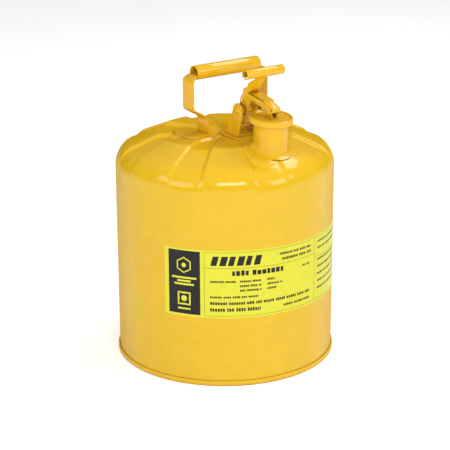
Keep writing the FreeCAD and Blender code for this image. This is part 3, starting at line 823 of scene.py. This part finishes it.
def rolled_tube(r, half, y, z, seam_deg, gap_deg, soft):
    """Sheet rolled into a tube along X with a seam gap; its ends and seam are rounded."""
    steps = 64
    outer_arc = [seam_deg + gap_deg + (360 - 2 * gap_deg) * k / steps for k in range(steps + 1)]
    section = [(r, a) for a in outer_arc] + [(r - TUBE_WALL, a) for a in reversed(outer_arc)]
    spots = [(-half, soft), (-half + soft * 0.3, soft * 0.3), (-half + soft, 0.0)]
    spots += [(-half / 3, 0.0), (half / 3, 0.0)]
    spots += [(half - soft, 0.0), (half - soft * 0.3, soft * 0.3), (half, soft)]
    verts = []
    for x, tuck in spots:
        for radius, angle in section:
            shrink = -tuck if radius == r else tuck
            a = math.radians(angle)
            verts.append((x, y + (radius + shrink) * math.cos(a), z + (radius + shrink) * math.sin(a)))
    count = len(section)
    faces = ring_faces(len(spots), count, False, True)
    for start, flip in ((0, False), ((len(spots) - 1) * count, True)):
        for k in range(steps):
            quad = (start + k, start + k + 1, start + count - 2 - k, start + count - 1 - k)
            faces.append(tuple(reversed(quad)) if flip else quad)
    return verts, faces


def bracket_piece():
    """U-shaped bracket behind the spout, with a rounded ear on each side of the lever."""
    ear = [(51.0, 304.0), (22.4, 306.0), (26.7, 330.2), (37.5, 340.0), (40.1, 345.5)]
    ear += arc(-PIVOT_Y, PIVOT_Z, EAR_R, 180, 0, 16)[1:]
    ear = rounded(ear, [0, 0, 4.0, 6.0, 0] + [0] * 16, 4)
    solids = []
    for side in (-1, 1):
        x0, x1 = sorted((side * EAR_INNER, side * EAR_OUTER))
        solids.append(prism(ear, x0, x1, "x"))
        t0, t1 = sorted((side * 16.5, side * 20.0))
        tab = [(t0, -26.9), (t1, -26.9), (t1, -25.3), (t0, -25.3)]
        solids.append(prism(tab, 320.0, 329.0, "z"))
    web = rounded([(-17.0, -51.0), (17.0, -51.0), (17.0, -22.4), (-17.0, -22.4)], 2.0)
    solids.append(prism(web, 305.5, 312.3, "z"))
    cuts = [cross_hole(3.0, PIVOT_Y, PIVOT_Z, 48), cross_hole(2.0, *TIE_ROD, 32)]
    mesh = combine(solids, cuts, EDGE_SOFT)
    fitting("pivot_bracket", mesh, "root", "clevis_bracket", 35.0)


def sweep(path, radius, sides):
    """Round wire along a path of points, with closed ends."""
    points = [Vector(p) for p in path]
    tangents = []
    for i in range(len(points)):
        ahead = points[min(i + 1, len(points) - 1)] - points[max(i - 1, 0)]
        tangents.append(ahead.normalized())
    side = tangents[0].orthogonal().normalized()
    verts = []
    for point, tangent in zip(points, tangents):
        side = (side - tangent * side.dot(tangent)).normalized()
        up = tangent.cross(side)
        for k in range(sides):
            a = 2 * math.pi * k / sides
            verts.append(tuple(point + (side * math.cos(a) + up * math.sin(a)) * radius))
    faces = ring_faces(len(points), sides, False, True)
    faces.append(tuple(range(sides)))
    faces.append(tuple(reversed(range(len(verts) - sides, len(verts)))))
    return verts, faces


def spring_piece():
    """Double torsion spring: two coils round the pivot, joined by a bail behind the lever."""
    coil_r, pitch, turns = 5.6, 1.75, 3
    outer_x = 15.5 - 0.35 - WIRE_R
    inner_x = outer_x - pitch * turns
    back_y = PIVOT_Y + coil_r
    left = [(-outer_x, back_y, z) for z in (317.0, 322.0, 328.0, 334.0, 340.0, 343.0)]
    for k in range(turns * 36 + 1):
        a = 2 * math.pi * k / 36
        x = -outer_x + pitch * k / 36
        left.append((x, PIVOT_Y + coil_r * math.cos(a), PIVOT_Z + coil_r * math.sin(a)))
    rise = [(back_y - 0.4, PIVOT_Z + 2.5), (back_y - 1.6, 355.0), (back_y - 2.6, 360.5)]
    left += [(-inner_x, y, z) for y, z in rise]
    left += [(-inner_x + 2.0 - 2.0 * math.cos(a), -47.6, 362.0 + 2.0 * math.sin(a))
             for a in (math.radians(d) for d in (0, 30, 60, 90))]
    path = left + [(-x, y, z) for x, y, z in reversed(left)]
    obj = make_piece("return_spring", sweep(path, WIRE_R, 10), FITTING_PAINT, "lever",
                     ["torsion_spring"], 60.0)
    obj.parent = None
    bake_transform(obj)


# ---- handle
def strap_section(half_w, half_t):
    """Rounded rectangle of the strap's section, as (across, through) pairs."""
    corners = [(half_w, half_t), (-half_w, half_t), (-half_w, -half_t), (half_w, -half_t)]
    return rounded(corners, 0.8, 3)


def strap_sides(x, z):
    """How far the strap reaches behind and in front of its middle: narrow inside the grip."""
    full = float(smoothstep((abs(x) - 50.8) / 6.5)) if z > 370 else 1.0
    flare = float(np.interp(z, [FOOT_Z, 318.0, CRANK_LOW_Z], [7.0, 3.0, 0.0]))
    half = GRIPPED_HALF + (STRAP_W / 2 - GRIPPED_HALF) * full
    return half, half + flare


def handle_piece():
    """Cranked strap with soft bends; its narrow run passes through the grip."""
    upper = LEG_X - STRAP_T / 2
    lower = LOWER_LEG_X - STRAP_T / 2
    top = GRIP_Z - 3.15
    right = [(lower, FOOT_Z), (lower, CRANK_LOW_Z), (upper, CRANK_HIGH_Z), (upper, LEG_TOP_Z)]
    right += [(upper - 7.0, top)]
    corners = [(-x, z) for x, z in right] + right[::-1]
    bends = [0, 5.5, 6.5, 5.0, 5.0, 5.0, 5.0, 6.5, 5.5, 0]
    path = rounded(corners, bends, 7, closed=False)
    fine = []
    for a, b in zip(path, path[1:]):
        count = max(1, int(math.dist(a, b) / 3.0))
        fine += [(a[0] + (b[0] - a[0]) * k / count, a[1] + (b[1] - a[1]) * k / count)
                 for k in range(count)]
    fine.append(path[-1])
    verts = []
    for i, (x, z) in enumerate(fine):
        ax, az = fine[max(i - 1, 0)]
        bx, bz = fine[min(i + 1, len(fine) - 1)]
        length = math.hypot(bx - ax, bz - az)
        nx, nz = -(bz - az) / length, (bx - ax) / length
        behind, ahead = strap_sides(x, z)
        for across, through in strap_section((behind + ahead) / 2, STRAP_T / 2):
            y = HANDLE_Y + (behind - ahead) / 2 + across
            verts.append((x + nx * through, y, z + nz * through))
    count = len(strap_section(5, 1))
    faces = ring_faces(len(fine), count, False, True)
    faces += [tuple(range(count)), tuple(reversed(range(len(verts) - count, len(verts))))]
    strap = temp_mesh(verts, faces)
    solids = [strap] + [foot_mesh(side) for side in (-1, 1)]
    fitting("handle_frame", combine(solids), "root", "handle_strap", 40.0)


def foot_mesh(side):
    """Welded pad that follows the dome, cut straight on its inner side, with a rounded rim."""
    outline = rounded(FOOT_OUTLINE, [2.0, 9.0, 9.0, 10.0, 9.0, 6.0, 4.0], 6)
    shares = [(0.25, 1.0), (0.5, 1.0), (0.75, 1.0), (0.93, 1.0), (0.98, 0.9), (1.0, 0.55), (1.0, 0.0)]
    verts = []
    for share, lift in shares + [(s, 0.0) for s in (0.75, 0.5, 0.25)]:
        for px, py in outline:
            x = side * (FOOT_MIDDLE[0] + (px - FOOT_MIDDLE[0]) * share)
            y = FOOT_MIDDLE[1] + (py - FOOT_MIDDLE[1]) * share
            verts.append((x, y, float(dome_z(x, y)) + 0.02 + STRAP_T * lift))
    rows = len(shares) + 3
    count = len(outline)
    faces = ring_faces(rows, count, False, True)
    faces += [tuple(range(count)), tuple(reversed(range((rows - 1) * count, rows * count)))]
    return temp_mesh(verts, faces)


def grip_piece():
    """Rolled grip tube round the strap, open at both ends."""
    shape = rolled_tube(GRIP_R, GRIP_HALF, HANDLE_Y, GRIP_Z, -90, 6.0, 0.4)
    fitting("handle_grip", shape, "root", "grip_sleeve")


# ---- label
# Its ends in degrees around the body
LABEL_FROM, LABEL_TO = -158.9, -3.9
MM_PER_DEG = math.radians(1) * BODY_R


def on_wall(degrees, z, r):
    """Point at an angle and height on an upright cylinder."""
    return (r * math.cos(math.radians(degrees)), r * math.sin(math.radians(degrees)), z)


def strip_patch(a0, a1, z0, z1, r_low, r_high, slant=0.0):
    """Closed curved block between two angles, made of narrow columns. slant leans it, in degrees."""
    columns = max(2, int(abs(a1 - a0) / 2.0) + 2)
    verts = []
    for k in range(columns):
        a = a0 + (a1 - a0) * k / (columns - 1)
        for lean, z in ((0.0, z0), (slant, z1)):
            verts += [on_wall(a + lean, z, r) for r in (r_high, r_low)]
    faces = []
    for k in range(columns - 1):
        a, b = 4 * k, 4 * k + 4
        faces += [(a, b, b + 2, a + 2), (a + 1, a + 3, b + 3, b + 1)]
        faces += [(a, a + 1, b + 1, b), (a + 2, b + 2, b + 3, a + 3)]
    end = 4 * (columns - 1)
    faces += [(0, 2, 3, 1), (end, end + 1, end + 3, end + 2)]
    return verts, faces


def gather(patches):
    """One vertex and face list from many closed patches."""
    verts, faces = [], []
    for more, some in patches:
        start = len(verts)
        verts += more
        faces += [tuple(v + start for v in face) for face in some]
    return verts, faces


def label_pieces():
    """Film on the body's side with plain blocks in place of its printing."""
    film_r = BODY_R + 0.2
    ink = (film_r - 0.05, film_r + 0.05)
    top, low = LABEL_HIGH_Z, LABEL_LOW_Z
    sheet = [strip_patch(LABEL_FROM, LABEL_TO, low, top, BODY_R + 0.02, film_r)]
    make_piece("label_film", gather(sheet), LABEL_YELLOW, "root", ["label"], 60.0)
    panel = [strip_patch(-156.5, -139.6, low + 3.2, top - 2.6, *ink)]
    printed = [("label_panel", panel, LABEL_BLACK), ("label_marks", panel_marks(film_r), LABEL_YELLOW),
               ("label_rules", label_rules(ink), LABEL_OLIVE),
               ("label_blocks", text_blocks(ink), LABEL_BLACK)]
    for name, patches, material in printed:
        make_piece(name, gather(patches), material, "root", sharp_deg=60.0)


def ring_patch(spots, width, r_low, r_high):
    """Closed raised outline through (degrees, z) corners, as a band of the given width."""
    spots = [(a + (b - a) * k / 6, z + (w - z) * k / 6)
             for (a, z), (b, w) in zip(spots, spots[1:] + spots[:1]) for k in range(6)]
    centre_a = sum(a for a, _ in spots) / len(spots)
    centre_z = sum(z for _, z in spots) / len(spots)
    verts = []
    for grow in (0.0, 1.0):
        for a, z in spots:
            da, dz = (a - centre_a) * MM_PER_DEG, z - centre_z
            size = math.hypot(da, dz)
            k = (size - grow * width) / size
            verts += [on_wall(centre_a + da * k / MM_PER_DEG, centre_z + dz * k, r)
                      for r in (r_high, r_low)]
    n = len(spots)
    faces = []
    for i in range(n):
        a, b = 2 * i, 2 * ((i + 1) % n)
        c, d = a + 2 * n, b + 2 * n
        faces += [(a, b, d, c), (a + 1, c + 1, d + 1, b + 1), (a, a + 1, b + 1, b), (c, d, d + 1, c + 1)]
    return verts, faces


def around(a, z, r, count, turn=0.0):
    """Corners of a regular outline on the body's side."""
    return [(a + r * math.cos(math.radians(turn + 360 * k / count)) / MM_PER_DEG,
             z + r * math.sin(math.radians(turn + 360 * k / count))) for k in range(count)]


def panel_marks(film_r):
    """Three plain shapes on the dark panel: a hexagon, a row of bars and a framed disc."""
    lift = (film_r, film_r + 0.1)
    middle = -148.1
    patches = [ring_patch(around(middle, 165.0, 11.0, 6, 90.0), 1.6, *lift)]
    patches.append(disc_patch(middle, 165.0, 3.0, *lift))
    for k, share in enumerate((1.0, 0.55, 0.8)):
        z = 146.5 - 4.4 * k
        patches.append(strip_patch(middle - 6.6 * share, middle + 6.6 * share, z, z + 2.6, *lift))
    patches.append(ring_patch(around(middle, 119.5, 12.6, 4, 45.0), 2.4, *lift))
    patches.append(disc_patch(middle, 119.5, 4.0, *lift))
    patches.append(strip_patch(middle - 3.4, middle + 3.4, 104.3, 106.6, *lift))
    return patches


def disc_patch(a, z, r, r_low, r_high):
    """Small closed disc on the body's side."""
    n = 20
    verts = [on_wall(*spot, level) for level in (r_high, r_low) for spot in around(a, z, r, n)]
    faces = [tuple(range(n)), tuple(reversed(range(n, 2 * n)))]
    faces += [(i, i + n, (i + 1) % n + n, (i + 1) % n) for i in range(n)]
    return verts, faces


def label_rules(ink):
    """Thin ruled frame and its dividers."""
    z0, z1, thick = LABEL_LOW_Z + 2.6, LABEL_HIGH_Z - 2.6, 0.55
    a0, a1, mid = -137.6, -6.0, -74.5
    header = z1 - 0.25 * (z1 - z0)
    wide = thick / MM_PER_DEG
    patches = [strip_patch(a0, a1, z, z + thick, *ink) for z in (z0, z1 - thick)]
    patches.append(strip_patch(a0, mid, header, header + thick, *ink))
    patches.append(strip_patch(mid, a1, header - 6.0, header - 6.0 + thick, *ink))
    for a in (a0, mid, a1 - wide):
        patches.append(strip_patch(a, a + wide, z0, z1, *ink))
    return patches


def block_row(patches, rng, a0, a1, z, high, ink, wide):
    """A row of small blocks of uneven width, with gaps between groups."""
    a = a0
    left = rng.randint(3, 8)
    while a < a1:
        size = wide * rng.uniform(0.7, 1.2) / MM_PER_DEG
        end = min(a + size, a1)
        if end - a > 0.25 * size:
            tall = high * rng.uniform(0.82, 1.0)
            patches.append(strip_patch(a, end, z, z + tall, *ink))
        a = end + 0.32 * wide / MM_PER_DEG
        left -= 1
        if left == 0:
            left = rng.randint(3, 8)
            a += 0.8 * wide / MM_PER_DEG


def text_blocks(ink):
    """Blocks that stand for the label's printing, without any lettering."""
    rng = random.Random(5)
    top = LABEL_HIGH_Z
    patches = []
    for k, share in enumerate((0.9, 1.0, 0.85, 1.0, 0.8, 0.95)):
        a = -134.4 + 4.35 * k
        patches.append(strip_patch(a, a + 3.3 * share, top - 20.6, top - 8.0, *ink, slant=1.3))
    # each row: from and to in degrees, height under the label's top, block height and width
    rows = [(-98.5, -78.0, -12.0, 3.2, 2.2), (-97.0, -77.5, -19.4, 3.6, 2.6)]
    rows += [(-123.5, -96.0, -34.2, 7.2, 4.6), (-84.0, -78.5, -35.0, 2.4, 1.6)]
    rows += [(-134.6, -121.5, -43.6, 2.8, 1.8), (-119.6, -108.6, -43.6, 2.8, 1.8)]
    rows += [(-105.5, -101.5, -43.6, 2.8, 1.8)]
    rows += [(-119.6, -108.6, -49.8, 2.8, 1.8), (-105.5, -97.0, -49.8, 2.8, 1.8)]
    rows += [(-119.6, -108.6, -56.0, 2.8, 1.8), (-105.5, -100.4, -56.0, 2.8, 1.8)]
    rows += [(-134.6, -110.2, -64.8, 2.9, 1.9), (-134.6, -78.5, -73.8, 3.9, 2.4)]
    rows += [(-134.6, -109.0, -83.0, 4.8, 2.6), (-96.0, -78.5, -83.2, 3.4, 2.0)]
    for down, span in ((-11, 30), (-20, 46), (-36, 38), (-46, 52), (-56, 34), (-66, 58), (-76, 42)):
        rows.append((-71.5, -71.5 + span, down, 3.0, 2.0))
    for a0, a1, down, high, wide in rows:
        block_row(patches, rng, a0, a1, top + down, high, ink, wide)
    return patches


# ---- build the object
body_piece()
bottom_piece()
spout_piece()
lid_piece()
seal_pieces()
lever_piece()
arm_piece()
bar_piece()
bracket_piece()
spring_piece()
handle_piece()
grip_piece()
label_pieces()

CAD_FINISH = {
    "arrester_cage": CAGE_STEEL, "arrester_screen": GAUZE, "arrester_ring": SPRING_STEEL,
    "lid_rivet": ZINC, "pivot_spacers": FITTING_PAINT,
    "lid_bracket": FITTING_PAINT, "lid_pin": FITTING_PAINT, "pivot_pin": FITTING_PAINT,
    "spring_tie_rod": FITTING_PAINT,
}
for node, material in CAD_FINISH.items():
    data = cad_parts[node].data
    data.materials.clear()
    data.materials.append(material)


# ---- floor, light and camera
def floor():
    """Plain pale floor."""
    sides, radius, level = 96, 40000, -0.05
    verts = [(radius * math.cos(a), radius * math.sin(a), level)
             for a in (2 * math.pi * k / sides for k in range(sides))]
    mesh = temp_mesh(verts, [tuple(range(sides))])
    mesh.materials.append(pale_floor())
    obj = bpy.data.objects.new("floor", mesh)
    bpy.context.scene.collection.objects.link(obj)


def softbox(name, azimuth, elevation, wide, high, radiance):
    """Rectangular studio light aimed at the can; wide and high are angles seen from it."""
    distance = 2.6
    a, e = math.radians(azimuth), math.radians(elevation)
    back = Vector((math.sin(a) * math.cos(e), -math.cos(a) * math.cos(e), math.sin(e)))
    light = bpy.data.lights.new(name, "AREA")
    light.shape = "RECTANGLE"
    light.size = 2 * distance * math.tan(math.radians(wide / 2))
    light.size_y = 2 * distance * math.tan(math.radians(high / 2))
    light.energy = radiance * math.pi * light.size * light.size_y
    obj = bpy.data.objects.new(name, light)
    obj.location = Vector((0, 0, 0.25)) + back * distance
    obj.rotation_mode = "QUATERNION"
    obj.rotation_quaternion = back.to_track_quat("Z", "Y")
    obj.visible_camera = False
    bpy.context.scene.collection.objects.link(obj)


def studio_world(top, front, back):
    """Soft studio surroundings: brightest overhead, dim behind the can, brighter in front."""
    world = bpy.data.worlds.new("studio")
    world.use_nodes = True
    n = Nodes(world.node_tree)
    out = n.add("ShaderNodeOutputWorld")
    shade = n.add("ShaderNodeBackground")
    way = n.add("ShaderNodeTexCoord").outputs["Generated"]

    def share(aim, low, high, to_low, to_high):
        """Smooth change of a value with how far a direction leans towards aim."""
        dot = n.add("ShaderNodeVectorMath", operation="DOT_PRODUCT")
        n.feed(dot.inputs[0], way)
        n.feed(dot.inputs[1], aim)
        span = n.add("ShaderNodeMapRange", interpolation_type="SMOOTHSTEP")
        n.set(span, Value=dot.outputs["Value"], From_Min=low, From_Max=high,
              To_Min=to_low, To_Max=to_high)
        return span.outputs["Result"]

    total = n.math("ADD", share((0.0, -1.0, 0.0), -0.6, 0.8, back, front),
                   share((0.0, 0.0, 1.0), 0.15, 0.85, 0.0, top))
    n.set(shade, Strength=total, Color=(1.0, 0.995, 0.985, 1.0))
    n.link(shade.outputs[0], out.inputs[0])
    bpy.context.scene.world = world


def camera():
    """Three-quarter view from the front left, a little above the can."""
    data = bpy.data.cameras.new("camera")
    data.sensor_width = 36.0
    data.lens = 114.84
    data.clip_start, data.clip_end = 0.05, 50.0
    obj = bpy.data.objects.new("camera", data)
    right = Vector((0.79792, -0.60275, -0.00354))
    up = Vector((0.19318, 0.25016, 0.94874))
    back = right.cross(up).normalized()
    up = back.cross(right).normalized()
    turn = Matrix((right, up, back)).transposed().to_4x4()
    obj.matrix_world = Matrix.Translation((-1.12031, -1.48671, 0.79292)) @ turn
    bpy.context.scene.collection.objects.link(obj)
    bpy.context.scene.camera = obj


floor()
studio_world(0.54, 0.11, 0.04)
softbox("key_front", -30.0, 25.0, 26.0, 11.0, 12.8)
softbox("side_left", -90.0, 22.0, 36.0, 20.0, 3.7)
softbox("side_right", 25.0, 24.0, 25.0, 17.0, 4.8)
softbox("high_right", 90.0, 53.0, 44.0, 15.0, 6.0)
camera()
bpy.context.scene.view_settings.view_transform = "Standard"
